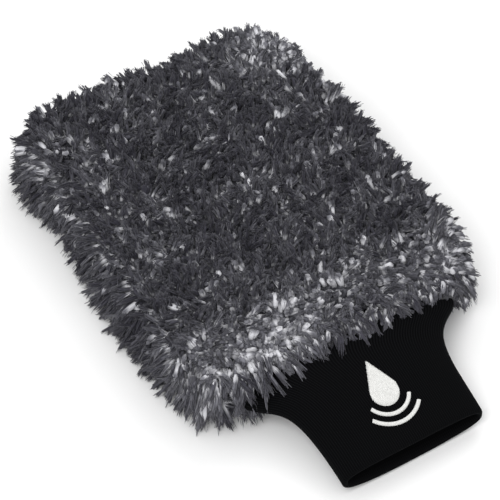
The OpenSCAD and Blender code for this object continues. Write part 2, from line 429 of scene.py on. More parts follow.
def makeFluff():
    halfWidth = mitt["halfWidth"] - fluff["sideGap"] * mm
    frontY, tipY = mitt["seamY"] + fluff["frontGap"] * mm, mitt["tipY"] - fluff["tipGap"] * mm
    low, high = fluff["floorGap"] * mm, mitt["top"] - fluff["topGap"] * mm
    bpy.ops.mesh.primitive_cube_add(size=1, location=(0, (frontY + tipY) / 2, (low + high) / 2),
                                    scale=(2 * halfWidth, tipY - frontY, high - low))
    bed = newest("pileBed")
    applyPlace(bed)
    bpy.ops.object.mode_set(mode="EDIT")
    bpy.ops.mesh.select_mode(type="EDGE")
    bpy.ops.mesh.select_all(action="DESELECT")
    bpy.ops.object.mode_set(mode="OBJECT")
    for isFront, radius in ((True, fluff["frontRadius"]), (False, fluff["cornerRadius"])):
        co = readVerts(bed.data)
        for edge in bed.data.edges:
            a, b = (co[i] for i in edge.vertices)
            upright = abs(a[2] - b[2]) > 0.5 * (high - low)
            edge.select = upright and abs(a[0]) > 0.9 * halfWidth and (a[1] < 0) == isFront
        bpy.ops.object.mode_set(mode="EDIT")
        bpy.ops.mesh.bevel(offset=radius * mm, segments=8)
        bpy.ops.mesh.select_all(action="DESELECT")
        bpy.ops.object.mode_set(mode="OBJECT")
    rounding = bed.modifiers.new("rounding", "BEVEL")
    rounding.width, rounding.segments, rounding.limit_method = fluff["edgeRadius"] * mm, 5, "ANGLE"
    rounding.angle_limit = math.radians(50)
    remesh = bed.modifiers.new("remesh", "REMESH")
    remesh.mode, remesh.voxel_size = "VOXEL", fluff["voxel"] * mm
    applyModifiers(bed)
    co = readVerts(bed.data)
    swell(bed)
    moved = readVerts(bed.data) - co
    size = np.linalg.norm(moved, axis=1, keepdims=True)
    co = co + moved * np.minimum(1, fluff["mostMove"] * mm / np.maximum(size, 1e-9))
    # back to its own length, width and thickness
    planned = np.array([[-halfWidth, frontY, low], [halfWidth, tipY, high]])
    shrink = (planned[1] - planned[0]) / (co.max(axis=0) - co.min(axis=0))
    co = planned[0] + (co - co.min(axis=0)) * shrink
    middle = np.array([0, (frontY + tipY) / 2, mitt["middle"]])
    outward = unit((co - middle) / np.array([halfWidth, (tipY - frontY) / 2, (high - low) / 2]) ** 2)
    broad, fine = fluff["lumpSizes"]
    lumps = noiseAt(co, broad) + 0.5 * noiseAt(co, fine, 5.0)
    co = co + outward * (lumps * fluff["lump"] * mm)[:, None]
    # it thins down to the sewn edge at the cuff
    thin = smooth(mitt["seamY"] + fluff["thinFrom"] * mm, mitt["seamY"], co[:, 1])
    co[:, 2] = mitt["middle"] + (co[:, 2] - mitt["middle"]) * (1 - fluff["thinning"] * thin)
    co[:, 0] *= 1 - fluff["narrowing"] * thin
    co[:, 2] = np.maximum(co[:, 2], low)
    co[:, 1] = np.maximum(co[:, 1], frontY)
    writeVerts(bed.data, co)
    return bed


def swell(ob):
    activate(ob)
    bpy.ops.object.modifier_add(type="CLOTH")
    cloth = ob.modifiers[-1]
    cloth.settings.use_pressure = True
    cloth.settings.uniform_pressure_force = fluff["pressure"]
    cloth.settings.effector_weights.gravity = 0
    cloth.point_cache.frame_start, cloth.point_cache.frame_end = 1, fluff["frames"]
    for step in range(1, fluff["frames"] + 1):
        bpy.context.scene.frame_set(step)
    bpy.ops.object.modifier_apply(modifier=cloth.name)
    bpy.context.scene.frame_set(1)


def cutPocket(bed):
    # the space that backing, lining and hand fill
    gap = fluff["pocketGap"] * mm
    startY = mitt["seamY"] - 20 * mm
    depth = mitt["pocketTipY"] + gap - startY
    size = (2 * (mitt["pocketHalfWidth"] + gap), depth, 2 * (mitt["pocketHalfHeight"] + gap))
    bpy.ops.mesh.primitive_cube_add(size=1, location=(0, startY + depth / 2, mitt["middle"]), scale=size)
    cutter = newest("pocketCutter")
    applyPlace(cutter)
    cut = bed.modifiers.new("pocket", "BOOLEAN")
    cut.operation, cut.object, cut.solver = "DIFFERENCE", cutter, "EXACT"
    applyModifiers(bed)
    bpy.data.objects.remove(cutter)
    activate(bed)
    bpy.ops.object.shade_smooth_by_angle(angle=math.radians(50))


bed = makeFluff()
bedVerts = readVerts(bed.data)
bed.data.calc_loop_triangles()
bedTriangles = np.array([t.vertices[:] for t in bed.data.loop_triangles])
bedNormals = np.array([v.normal[:] for v in bed.data.vertices])
cutPocket(bed)
dress(bed, underFluff, "pile", "back_pile", "palm_pile")
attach(bed, "mitt_body")
print("pile bed made:", len(bed.data.polygons), "faces")

cuff = {
    "mouthHalfWidth": 49.4,
    "rootHalfWidth": 79.5,
    "neckAt": 20.2,
    "neckSkew": 3.4,  # the flare reaches further down one side
    "earTuck": 6.0,  # the seam draws the flare in at its root
    "rootHalfHeight": 8.4,
    "mouthHalfHeight": 9.7,
    "sag": 16.5,
    "rootReach": 8.0,
    "thickness": 3.4,  # two layers of knit
    "ribs": 148,
    "vertsPerRib": 4,
    "ribDepth": 0.22,
    "outerRings": 52,
    "lipRings": 7,
    "innerRings": 30,
    "courses": 150.0,
    "gather": 0.5,
    "gatherAt": 6.0,
    "gatherLength": 13.0,
    "gatherPitch": 0.42,
    "wave": 0.55,
    "wavePitch": (0.055, 0.05),  # across the cuff and along it
    "flarePower": 3,
    "tuckLength": 13.0,
    "rootPower": 2.6,
    "powerGain": 0.4,
    "earDroop": 5.0,  # one side of the flare hangs lower
    "mouthSkew": 4.0,  # and the mouth is cut a little askew
    "mouthShift": 1.0,
}


def cuffHalfWidth(u, x):
    neck = cuff["neckAt"] - cuff["neckSkew"] * np.sign(x)
    drawnIn = cuff["rootHalfWidth"] - cuff["mouthHalfWidth"]
    flare = drawnIn / (1 + (np.maximum(u, 0) / neck) ** cuff["flarePower"])
    return cuff["mouthHalfWidth"] + flare - cuff["earTuck"] * (1 - smooth(0, cuff["tuckLength"], u))


def cuffHalfHeight(u):
    share = np.maximum(u, 0) / mitt["cuffLength"]
    return cuff["rootHalfHeight"] + (cuff["mouthHalfHeight"] - cuff["rootHalfHeight"]) * share


def cuffSag(u):
    share = np.maximum(u, 0) / mitt["cuffLength"]
    return cuff["sag"] * share**2 * (1.5 - 0.5 * share)


def cuffPower(u):
    # the folded sides are tight at the root and rounder at the mouth
    return cuff["rootPower"] + cuff["powerGain"] * smooth(10, 70, u)


def cuffSoftness(x, u, side):
    # slow waves of soft knit, with gathers where it spreads to the seam
    nearSeam = np.exp(-(((np.maximum(u, 0) - cuff["gatherAt"]) / cuff["gatherLength"]) ** 2))
    gather = nearSeam * np.sin(x * cuff["gatherPitch"] + 0.04 * u) * smooth(18, 60, np.abs(x))
    pitchX, pitchU = cuff["wavePitch"]
    slow = np.sin(x * pitchX + 1.0) * np.sin(u * pitchU + 0.4) * smooth(0, 60, u)
    droop = cuff["earDroop"] * smooth(-38, -72, x) * np.exp(-(((u - 14) / 13) ** 2))
    return cuff["gather"] * gather + cuff["wave"] * slow * np.where(side > 0, 1.0, 0.6) - droop


def cuffFace(x, u, side):
    # height above the floor, in millimetres, of the cuff's upper (side 1) or lower (side -1) face
    share = np.clip(np.abs(x) / cuffHalfWidth(u, x), 0, 1)
    rise = cuffHalfHeight(u) * (1 - share ** cuffPower(u)) ** (1 / cuffPower(u))
    return mitt["middle"] / mm - cuffSag(u) + side * rise + cuffSoftness(x, u, side)


def cuffRing(u, depth, columns):
    turn = np.linspace(0, 2 * math.pi, 4001)
    c, s = np.cos(turn), np.sin(turn)
    halfW, halfH, power = cuffHalfWidth(u, c) - depth, cuffHalfHeight(u) - depth, cuffPower(u)
    x = halfW * np.sign(c) * np.abs(c) ** (2 / power)
    z = halfH * np.sign(s) * np.abs(s) ** (2 / power)
    run = np.concatenate([[0], np.cumsum(np.hypot(np.diff(x), np.diff(z)))])
    at = columns / (cuff["ribs"] * cuff["vertsPerRib"]) * run[-1]
    step = 0.3
    px, pz = np.interp(at, run, x), np.interp(at, run, z)
    ahead, behind = (at + step) % run[-1], (at - step) % run[-1]
    tx = np.interp(ahead, run, x) - np.interp(behind, run, x)
    tz = np.interp(ahead, run, z) - np.interp(behind, run, z)
    size = np.maximum(np.hypot(tx, tz), 1e-9)
    rib = cuff["ribDepth"] * 0.5 * (np.cos(columns / cuff["vertsPerRib"] * 2 * math.pi) - 1)
    px, pz = px + tz / size * rib, pz - tx / size * rib
    z = mitt["middle"] / mm + pz - cuffSag(u) + cuffSoftness(px, u, pz)
    skew = cuff["mouthSkew"] * smooth(-50, 60, px) * smooth(30, 84, u)
    px = px + cuff["mouthShift"] * smooth(40, 84, u)
    return np.stack([px * mm, mitt["seamY"] - (u - skew) * mm, z * mm], axis=1)


def cuffStations():
    # (distance from the seam, depth below the surface): along the outside, round the lip and back inside
    lip = cuff["thickness"] / 2
    end = mitt["cuffLength"] - lip
    out = [(u, 0.0) for u in np.linspace(-cuff["rootReach"], end, cuff["outerRings"])]
    angles = [math.pi * i / cuff["lipRings"] for i in range(1, cuff["lipRings"])]
    around = [(end + lip * math.sin(a), lip - lip * math.cos(a)) for a in angles]
    back = [(u, 2 * lip) for u in np.linspace(end, -cuff["rootReach"], cuff["innerRings"])]
    return out + around + back


def makeCuff():
    columns = cuff["ribs"] * cuff["vertsPerRib"]
    stations = cuffStations()
    rows = len(stations) - 1
    bpy.ops.mesh.primitive_grid_add(x_subdivisions=columns, y_subdivisions=rows, size=1, calc_uvs=True)
    ob = newest("cuffKnit")
    ob.data.uv_layers[0].name = "OFBake"
    co = readVerts(ob.data)
    column = np.rint((co[:, 0] + 0.5) * columns)
    row = np.rint((co[:, 1] + 0.5) * rows).astype(int)
    placed = np.empty_like(co)
    for index, (u, depth) in enumerate(stations):
        here = row == index
        placed[here] = cuffRing(u, depth, column[here])
    writeVerts(ob.data, placed)
    activate(ob)
    editWhole()
    bpy.ops.mesh.remove_doubles(threshold=0.00001)
    bpy.ops.mesh.select_all(action="DESELECT")
    bpy.ops.mesh.select_non_manifold()
    bpy.ops.mesh.bridge_edge_loops()
    bpy.ops.mesh.select_all(action="SELECT")
    turnOutwards()
    bpy.ops.object.shade_smooth()
    return ob


cuffKnit = makeCuff()
ribbed = knitMaterial("ribbedCuff", float(cuff["ribs"]), cuff["courses"])
dress(cuffKnit, ribbed, "rib_knit", "cuff_shell", "cuff_facing")
print("cuff made:", len(cuffKnit.data.polygons), "faces")

tuft = {
    "spacing": 2.35,
    "underSpacing": 3.5,
    "candidates": 80000,
    "rootSink": 2.5,
    "length": 14.0,
    "lengthSpread": 1.4,
    "rootSize": (2.2, 1.2),
    "tipSize": (3.5, 1.9),
    "lean": 40.0,
    "clump": 7.5,
    "clumping": 0.6,
    # how steeply each row stands, how far it is behind the seam and above the middle
    "edgeFan": (
        (105.0, 17.0, 13.4),
        (95.0, 13.0, 13.0),
        (80.0, 9.5, 12.6),
        (65.0, 6.5, 12.0),
        (50.0, 4.0, 11.4),
        (36.0, 2.0, 10.8),
        (20.0, 0.2, 10.2),
        (6.0, -1.4, 9.4),
    ),
    "edgeSpacing": 3.0,
    "edgeStray": (0.8, 1.0, 0.5),
    "edgeWander": 0.25,
    "fringeFrom": -76.0,
    "edgeGrowth": 5.0,
    "sideGrowth": 1.0,
    "perPiece": 1300,
    "mostProud": 15.0,  # no strand stands further than this out of the mitt's sides
}


# a tuft is soft puffs of untwisted yarn inside thick locks, with fine ends that stand out of it
puff = {
    "sides": 5,
    "across": 2,
    "through": 1,
    "width": 2.5,
    "thickness": 2.0,
    "start": 0.02,
    "rings": ((0.3, 0.9), (0.86, 0.9)),
    "stray": 0.3,
    "uneven": 0.25,
    "reach": 0.8,
    "puffedReach": 0.25,
    "puffedTone": 0.08,
    "puffedSize": 0.6,
}
lock = {
    "sides": 3,
    "across": 3,
    "through": 2,
    "width": 1.25,
    "thickness": 0.95,
    "start": 0.05,
    "rings": ((0.42, 1.0), (0.94, 0.78)),
    "stray": 0.2,
    "uneven": 0.18,
    "reach": 1.0,
    "puffedReach": -0.22,
    "puffedTone": -0.2,
    "puffedSize": -0.1,
}
fray = {
    "sides": 3,
    "across": 6,
    "through": 1,
    "width": 0.42,
    "thickness": 0.34,
    "start": 0.45,
    "rings": ((0.94, 1.0),),
    "stray": 0.42,
    "uneven": 0.14,
    "reach": 1.1,
    "puffedReach": -0.1,
    "puffedTone": -0.3,
    "puffedSize": 0.0,
}


def scatterRoots(rng):
    a, b, c = (bedVerts[bedTriangles[:, i]] for i in range(3))
    area = np.linalg.norm(np.cross(b - a, c - a), axis=1)
    pick = rng.choice(len(area), tuft["candidates"], p=area / area.sum())
    r, s = np.sqrt(rng.random(len(pick))), rng.random(len(pick))
    weights = np.stack([1 - r, r * (1 - s), r * s], axis=1)
    points = np.einsum("ij,ijk->ik", weights, bedVerts[bedTriangles[pick]])
    normals = unit(np.einsum("ij,ijk->ik", weights, bedNormals[bedTriangles[pick]]))
    # none over the hand's opening
    inMouth = (normals[:, 1] < -0.5) & (np.abs(points[:, 0]) < mitt["pocketHalfWidth"])
    inMouth &= np.abs(points[:, 2] - mitt["middle"]) < mitt["pocketHalfHeight"] + 0.5 * mm
    points, normals = points[~inMouth], normals[~inMouth]
    spacing = np.where(normals[:, 2] < -0.6, tuft["underSpacing"], tuft["spacing"])
    spacing = spacing * (1 - 0.15 * smooth(-50, -84, points[:, 1] / mm))
    keep = thinOut(points, spacing * mm)
    points, normals = addEdgeRows(points[keep], normals[keep], rng)
    order = np.argsort(points[:, 1])
    return points[order], normals[order]


def addEdgeRows(points, normals, rng):
    # rows of tufts behind and along the sewn edge, fanned from upright to flat over the cuff
    places, ways = [points], [normals]
    reach = mitt["pocketHalfWidth"] / mm + 2
    for side in (1, -1):
        for fan, behind, lift in tuft["edgeFan"]:
            x = np.arange(-reach, reach, tuft["edgeSpacing"])
            stray = rng.standard_normal((len(x), 3))
            place = np.stack([x, np.full(len(x), behind), np.full(len(x), side * lift)], axis=1)
            seam = np.array([0, mitt["seamY"], mitt["middle"]])
            place = (place + stray * np.array(tuft["edgeStray"])) * mm + seam
            turn = math.radians(fan)
            way = np.array([0, -math.cos(turn), side * math.sin(turn)])
            way = way + tuft["edgeWander"] * rng.standard_normal((len(x), 3))
            places.append(place)
            ways.append(unit(way))
    return np.concatenate(places), np.concatenate(ways)


def thinOut(points, spacing):
    tree = KDTree(len(points))
    for index, point in enumerate(points):
        tree.insert(point, index)
    tree.balance()
    keep = np.ones(len(points), bool)
    for index, point in enumerate(points):
        if keep[index]:
            for _, other, _ in tree.find_range(point, spacing[index]):
                if other > index:
                    keep[other] = False
    return keep


def makeSpindle(spec):
    # a strand of yarn pointed at both ends: its root, one or two rings of (height, width), and its tip
    rings = spec["rings"]
    if len(rings) == 2:
        bpy.ops.mesh.primitive_cylinder_add(vertices=spec["sides"], radius=1, depth=2, end_fill_type="TRIFAN")
    else:
        bpy.ops.mesh.primitive_cone_add(vertices=spec["sides"], radius1=1, radius2=0, depth=2,
                                        end_fill_type="TRIFAN")
    spindle = newest("strand")
    editWhole()
    bpy.ops.mesh.quads_convert_to_tris()
    bpy.ops.object.mode_set(mode="OBJECT")
    verts = readVerts(spindle.data)
    isEnd, isHigh = np.hypot(verts[:, 0], verts[:, 1]) < 0.01, verts[:, 2] > 0
    ring = np.where(isHigh[:, None], rings[-1], rings[0])
    verts[:, :2] *= ring[:, 1:]
    verts[:, 2] = np.where(isEnd, np.where(isHigh, 1.0, spec["start"]), ring[:, 0])
    faces = np.array([polygon.vertices[:] for polygon in spindle.data.polygons])
    bpy.data.objects.remove(spindle)
    return verts, faces


def mapStrand(verts, faces, shade, shadeWidth):
    # shade runs across the map, root to tip runs up it
    bearing = np.arctan2(verts[:, 1], verts[:, 0]) / math.pi
    around = np.where(np.hypot(verts[:, 0], verts[:, 1]) < 0.01, 0, bearing)
    across, along = around[faces] / 2, verts[:, 2][faces]
    u = np.clip(shade[:, None, None] + across * shadeWidth, 0, 1)
    return np.stack([u, np.broadcast_to(along, u.shape)], axis=-1)


def softFloor(value, least, knee):
    # pushes low values up over least without ever making two of them equal
    room = knee - least
    return np.where(value < knee, least + room * np.exp(np.minimum(value - knee, 0) / room), value)


# how the tufts lie: their lean turns over the pile in patches, and is drawn down and over the cuff
lie = {
    "swirls": ((1.3, 0.03, 0.0), (0.5, 0.011, 9.0)),  # turns, size of the patches in metres, noise offset
    "swirlStray": 1.1,
    "sidePull": (0, 0, -0.4),
    "cuffPull": (-0.15, -1.0, -0.3),
    "leanStray": 12,
    "underLean": 25,
    "cuffLean": 12,
    "splay": 0.6,
    "splayFall": (0, 0, -0.3),
    "stray": 0.22,
    "sideStray": 0.16,
    "cuffStray": 0.1,
    "bulge": 0.07,
    "droop": 0.06,
    "sideDroop": 0.2,
    "cuffDroop": 0.42,
}
# lengths that are added, in millimetres
growth = {
    "fringe": 15,
    "fringeLeft": 6,
    "fringeRight": -7,
    "fringeUnder": -3,
    "fringeStray": 2.5,
    "longShare": 0.14,
    "longExtra": 5.0,
    "rightSide": 2.0,
    "corners": ((99, 126, -7.0, 20), (-96, 128, 5.0, 14), (95, -85, -6.0, 13)),  # x, y, amount, spread
    "floor": 3,
    "floorMiddle": (8, 2, 50),  # amount, y, spread
    "floorFront": (10, 5),  # less at the cuff's end, on the right and on the left
}
# shade is how pale a tuft is: patches, single pale tufts, and pale bands at the cuff and two corners
tone = {
    "middle": 0.255,
    "patches": ((0.19, 0.022, 20.0), (0.15, 0.009, 40.0)),  # amount, size in metres, noise offset
    "stray": 0.08,
    "paleShare": 0.12,
    "paleExtra": 0.32,
    "band": 0.12,
    "bandSpots": ((88, 0.2, 20), (-28, 0.21, 34), (-74, 0.1, 18)),  # x, amount, spread
    "overCuff": 0.85,
    "onSide": 0.03,
    "corners": ((84, 135, 0.3), (-85, 125, 0.03)),
    "cornerSpread": 28,
    "puffedFrom": (0.42, 0.75),
}


def bump(distance, spread):
    return np.exp(-((distance / spread) ** 2))


def tuftWays(points, normals, onSide, forward, low, rng):
    count = len(points)
    swirl = 2 * math.pi * sum(turns * noiseAt(points, size, offset) for turns, size, offset in lie["swirls"])
    swirl = swirl + lie["swirlStray"] * rng.standard_normal(count)
    leanWay = np.stack([np.cos(swirl), np.sin(swirl), np.zeros(count)], axis=1)
    leanWay += onSide[:, None] * np.array(lie["sidePull"]) + forward[:, None] * np.array(lie["cuffPull"])
    leanWay = unit(leanWay - normals * np.sum(leanWay * normals, axis=1, keepdims=True))
    lean = np.radians(tuft["lean"] + lie["leanStray"] * rng.standard_normal(count))
    lean = lean + np.radians(lie["underLean"]) * smooth(-0.3, -0.8, normals[:, 2])
    lean = lean + np.radians(lie["cuffLean"]) * forward
    way = unit(normals * np.cos(lean)[:, None] + leanWay * np.sin(lean)[:, None])
    # those low on the sides splay out over the floor
    outward = unit(normals * np.array([1, 1, 0]))
    way = unit(way + (outward + np.array(lie["splayFall"]) - way) * (lie["splay"] * low)[:, None])
    stray = lie["stray"] + lie["sideStray"] * onSide + lie["cuffStray"] * forward
    return unit(way + stray[:, None] * rng.standard_normal((count, 3)))


def tuftLengths(points, nz, low, overCuff, rng):
    count = len(points)
    x, y, z = points.T / mm
    length = tuft["length"] + tuft["lengthSpread"] * rng.standard_normal(count)
    # longer at the sewn edge; over the cuff it reaches further on one side than on the other
    length = length + tuft["edgeGrowth"] * smooth(-60, -84, y)
    above, below = z > 27, z < 27
    reach = growth["fringe"] + growth["fringeLeft"] * smooth(-10, -58, x) * above
    reach = reach + growth["fringeRight"] * smooth(38, 55, x) + growth["fringeUnder"] * below
    reach = reach + growth["fringeStray"] * rng.standard_normal(count)
    reach = reach + growth["longExtra"] * (rng.random(count) < growth["longShare"])
    length = length + (reach - length) * overCuff
    # one long side and one corner stand out more, and two corners less
    rightSide = growth["rightSide"] * smooth(62, 90, x)
    length = length + rightSide * smooth(-75, -50, y) * smooth(118, 95, y) * (z > 22)
    for middleX, middleY, amount, spread in growth["corners"]:
        length = length + amount * np.exp(-((x - middleX) ** 2 + (y - middleY) ** 2) / (2 * spread**2))
    # the edges stand out, and the lowest lie out over the floor
    edge = tuft["sideGrowth"] * smooth(0.97, 0.7, nz) * smooth(-0.3, 0.1, nz)
    length = length + edge * (1 - overCuff)
    amount, middleY, spread = growth["floorMiddle"]
    floor = growth["floor"] + amount * bump(y - middleY, spread)
    floor = floor - smooth(-50, -78, y) * np.where(x > 0, *growth["floorFront"])
    return (length + low * (1 - overCuff) * floor) * mm


def tuftShades(points, onSide, overCuff, rng):
    count = len(points)
    x, y, z = points.T / mm
    shade = tone["middle"]
    for amount, size, offset in tone["patches"]:
        shade = shade + amount * noiseAt(points, size, offset)
    shade = shade + tone["stray"] * rng.standard_normal(count)
    shade = shade + tone["paleExtra"] * (rng.random(count) < tone["paleShare"])
    band = tone["band"]
    for at, amount, spread in tone["bandSpots"]:
        band = band + amount * bump(x - at, spread)
    shade = shade + band * smooth(-32, -66, y) * (1 - tone["overCuff"] * overCuff) - tone["onSide"] * onSide
    for middleX, middleY, amount in tone["corners"]:
        apart = (x - middleX) ** 2 + (y - middleY) ** 2
        shade = shade + amount * np.exp(-apart / (2 * tone["cornerSpread"] ** 2))
    return shade


def growTufts(points, normals, rng):
    # one root, spine, two cross axes, shade and droop for each tuft
    count = len(points)
    x, y, z = points.T / mm
    nz = normals[:, 2]
    onSide = smooth(0.75, 0.35, nz) * smooth(-0.75, -0.35, nz)
    forward = smooth(-55, -86, y)
    low = smooth(28, 13, z) * (np.hypot(normals[:, 0], normals[:, 1]) > 0.35)
    way = tuftWays(points, normals, onSide, forward, low, rng)
    fringe = smooth(tuft["fringeFrom"], tuft["fringeFrom"] - 8, y)
    overCuff = smooth(0.3, 0.9, -way[:, 1]) * fringe * (np.abs(x) < mitt["pocketHalfWidth"] / mm)
    length = tuftLengths(points, nz, low, overCuff, rng)
    way = clumpTogether(points, way, length, rng)
    shade = tuftShades(points, onSide, overCuff, rng)
    turn = rng.random(count) * 2 * math.pi
    wide = unit(np.cross(way, np.stack([np.cos(turn), np.sin(turn), 0.3 * np.ones(count)], axis=1)))
    droop = lie["droop"] + lie["sideDroop"] * onSide + lie["cuffDroop"] * forward * (z > 20)
    return {
        "root": points - normals * tuft["rootSink"] * mm,
        "spine": way * length[:, None],
        "bulge": normals * (lie["bulge"] * length)[:, None],
        "droop": droop * length,
        "wide": wide,
        "narrow": np.cross(way, wide),
        "shade": shade,
        "puffed": smooth(*tone["puffedFrom"], shade) * (1 - overCuff),
    }


def clumpTogether(points, way, length, rng):
    # neighbouring tufts lean together, which leaves partings between the clumps
    centres = np.where(thinOut(points, np.full(len(points), tuft["clump"] * mm)))[0]
    tree = KDTree(len(centres))
    for index in centres:
        tree.insert(points[index], index)
    tree.balance()
    nearest = np.array([tree.find(point)[1] for point in points])
    tip = points + way * length[:, None]
    pulled = tip + (tip[nearest] - tip) * tuft["clumping"] * rng.random((len(points), 1))
    return unit(pulled - points)


def tuftPoint(tufts, t, acrossWide, acrossNarrow):
    # a place in each tuft: t up its curved spine, and across it in shares of its flaring size
    rootSize, tipSize = np.array(tuft["rootSize"]) * mm / 2, np.array(tuft["tipSize"]) * mm / 2
    t, a, b = t[..., None], acrossWide[..., None], acrossNarrow[..., None]
    size = rootSize + (tipSize - rootSize) * t

    def each(key):
        return tufts[key].reshape((len(tufts[key]),) + (1,) * (t.ndim - 2) + (-1,))

    place = each("root") + each("spine") * t + each("bulge") * (4 * t * (1 - t))
    place = place + each("wide") * a * size[..., :1] + each("narrow") * b * size[..., 1:]
    fall = np.zeros_like(place)
    fall[..., 2] = (each("droop") * t**2)[..., 0]
    return place - fall


def makeStrands(tufts, rng, spec):
    verts, faces = makeSpindle(spec)
    count, strands = len(tufts["root"]), spec["across"] * spec["through"]
    index = np.arange(strands)
    a = (index % spec["across"] + 0.5) / spec["across"] * 2 - 1
    a = a + spec["stray"] * rng.standard_normal((count, strands))
    b = (index // spec["across"] + 0.5) / spec["through"] * 2 - 1
    b = b + spec["stray"] * rng.standard_normal((count, strands))
    puffed = tufts["puffed"][:, None]
    reach = spec["reach"] * (1 - spec["uneven"] * rng.random((count, strands)) - 0.08 * a**2)
    reach = reach * (1 + spec["puffedReach"] * puffed)
    heights = np.unique(verts[:, 2])
    wander = spec["stray"] * rng.standard_normal((2, count, strands))
    levels = [tuftPoint(tufts, reach * t, a + wander[0] * t, b + wander[1] * t) for t in heights]
    turn = rng.random((count, strands, 1)) * 2 * math.pi
    grow = (0.75 + 0.5 * rng.random((count, strands, 1))) * (1 + spec["puffedSize"] * puffed[..., None])
    wide, narrow = tufts["wide"][:, None], tufts["narrow"][:, None]
    side = (wide * np.cos(turn) + narrow * np.sin(turn)) * grow * spec["width"] * mm / 2
    other = (narrow * np.cos(turn) - wide * np.sin(turn)) * grow * spec["thickness"] * mm / 2
    out = np.empty((count, strands, len(verts), 3))
    for k, (across, up, t) in enumerate(verts):
        out[:, :, k] = levels[np.searchsorted(heights, t)] + side * across + other * up
    shade = tufts["shade"][:, None] + spec["puffedTone"] * puffed
    shade = shade + tone["stray"] * rng.standard_normal((count, strands))
    shade = np.clip(shade, 0.02, 0.97)
    uv = mapStrand(verts, faces, shade.ravel(), 0.02)
    return clearOfCuff(out), faces, uv.reshape(count, strands, *uv.shape[1:])


def clearOfCuff(verts):
    # strands lie over or under the cuff, never in it, and rest on the floor
    x, u, z = verts[..., 0] / mm, (mitt["seamY"] - verts[..., 1]) / mm, verts[..., 2] / mm
    near = (u > -1.5) & (np.abs(x) < cuffHalfWidth(u, x) + 1.0)
    above = z > mitt["middle"] / mm - cuffSag(u)
    top, bottom = cuffFace(x, u, 1.0), cuffFace(x, u, -1.0)
    over = top + softFloor(z - top, 0.4, 1.6)
    under = bottom - softFloor(bottom - z, 0.4, 1.6)
    z = np.where(near & above, over, np.where(near, under, z))
    widest = mitt["halfWidth"] / mm + tuft["mostProud"]
    verts[..., 0] = np.sign(x) * (widest - softFloor(widest - np.abs(x), 0.2, 2.0)) * mm
    verts[..., 2] = softFloor(z, 0.25, 1.6) * mm
    return verts


def joinTufts(name, batches, chosen):
    co, tris, maps, start = [], [], [], 0
    for verts, faces, uv in batches:
        picked = verts[chosen].reshape(-1, verts.shape[2], 3)
        offsets = start + np.arange(len(picked)) * picked.shape[1]
        co.append(picked.reshape(-1, 3))
        tris.append((faces[None] + offsets[:, None, None]).reshape(-1, 3))
        maps.append(uv[chosen].reshape(-1, 2))
        start += len(co[-1])
    co, tris, maps = (np.concatenate(part) for part in (co, tris, maps))
    mesh = bpy.data.meshes.new(name)
    mesh.vertices.add(len(co))
    mesh.vertices.foreach_set("co", co.ravel())
    mesh.loops.add(tris.size)
    mesh.loops.foreach_set("vertex_index", tris.ravel())
    mesh.polygons.add(len(tris))
    mesh.polygons.foreach_set("loop_start", np.arange(len(tris)) * 3)
    mesh.update(calc_edges=True)
    mesh.uv_layers.new(name="OFBake").data.foreach_set("uv", maps.ravel())
    ob = linkNew(name, mesh)
    bpy.ops.object.shade_smooth()
    return ob


def makePile():
    rng = np.random.default_rng(7)
    points, normals = scatterRoots(rng)
    tufts = growTufts(points, normals, rng)
    batches = [makeStrands(tufts, rng, spec) for spec in (puff, lock, fray)]
    isBack = (points[:, 2] > mitt["middle"]) | (normals[:, 2] > 0.3)
    isFringe = points[:, 1] / mm < tuft["fringeFrom"]
    for side, onSide, node in (("back", isBack, "back_pile"), ("palm", ~isBack, "palm_pile")):
        for kind, ofKind in (("Fringe", isFringe), ("Pile", ~isFringe)):
            rows = np.where(onSide & ofKind)[0]
            for index, chosen in enumerate(np.array_split(rows, math.ceil(len(rows) / tuft["perPiece"]))):
                ob = joinTufts(f"{side}{kind}{index + 1}", batches, chosen)
                dress(ob, plush, "pile", node)
                if kind == "Fringe":
                    bendWithCuff(ob)
                else:
                    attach(ob, "mitt_body")
    print("tufts laid:", len(points))


makePile()
bendWithCuff(cuffKnit)

# a generic water drop over two ripples, in satin stitch
motif = {
    "size": 44.0,
    "at": 48.0,
    "dropRadius": 0.21,
    "dropTip": 0.52,
    "ripples": ((0.36, 62.0), (0.5, 50.0)),
    "stroke": 2.4,
    "pitch": 0.42,
    "threadHalf": 0.25,
    "rise": 0.75,
    "sink": 0.25,
    "taper": 0.9,
    "roundness": 0.8,
    "lean": 0.25,
    "slant": 0.012,
    "steps": 8,
}


def dropEdges(x):
    # lowest and highest place of the drop at x, in millimetres from its middle
    radius, tip = motif["dropRadius"] * motif["size"], motif["dropTip"] * motif["size"]
    touch = radius * radius / tip
    touchX = math.sqrt(radius * radius - touch * touch)
    low = -math.sqrt(max(radius * radius - x * x, 0))
    high = -low if abs(x) > touchX else tip - (tip - touch) * abs(x) / touchX
    return low, high


def dropStitches():
    # parallel stitches, leaning like hand-set satin
    radius = motif["dropRadius"] * motif["size"]
    stitches = []
    for x in np.arange(-radius + 0.3, radius - 0.2, motif["pitch"]):
        low, high = dropEdges(x)
        stitches.append(((x - motif["lean"], low), (x + motif["lean"], high)))
    return stitches


def rippleStitches():
    stitches = []
    for radius, reach in motif["ripples"]:
        radius = radius * motif["size"] - motif["stroke"] / 2
        steps = int(radius * math.radians(2 * reach) / motif["pitch"])
        for angle in np.linspace(math.radians(-90 - reach), math.radians(-90 + reach), steps):
            ends = []
            for side in (-1, 1):
                far, at = radius + side * motif["stroke"] / 2, angle + side * motif["slant"]
                ends.append((far * math.cos(at), far * math.sin(at)))
            stitches.append(tuple(ends))
    return stitches


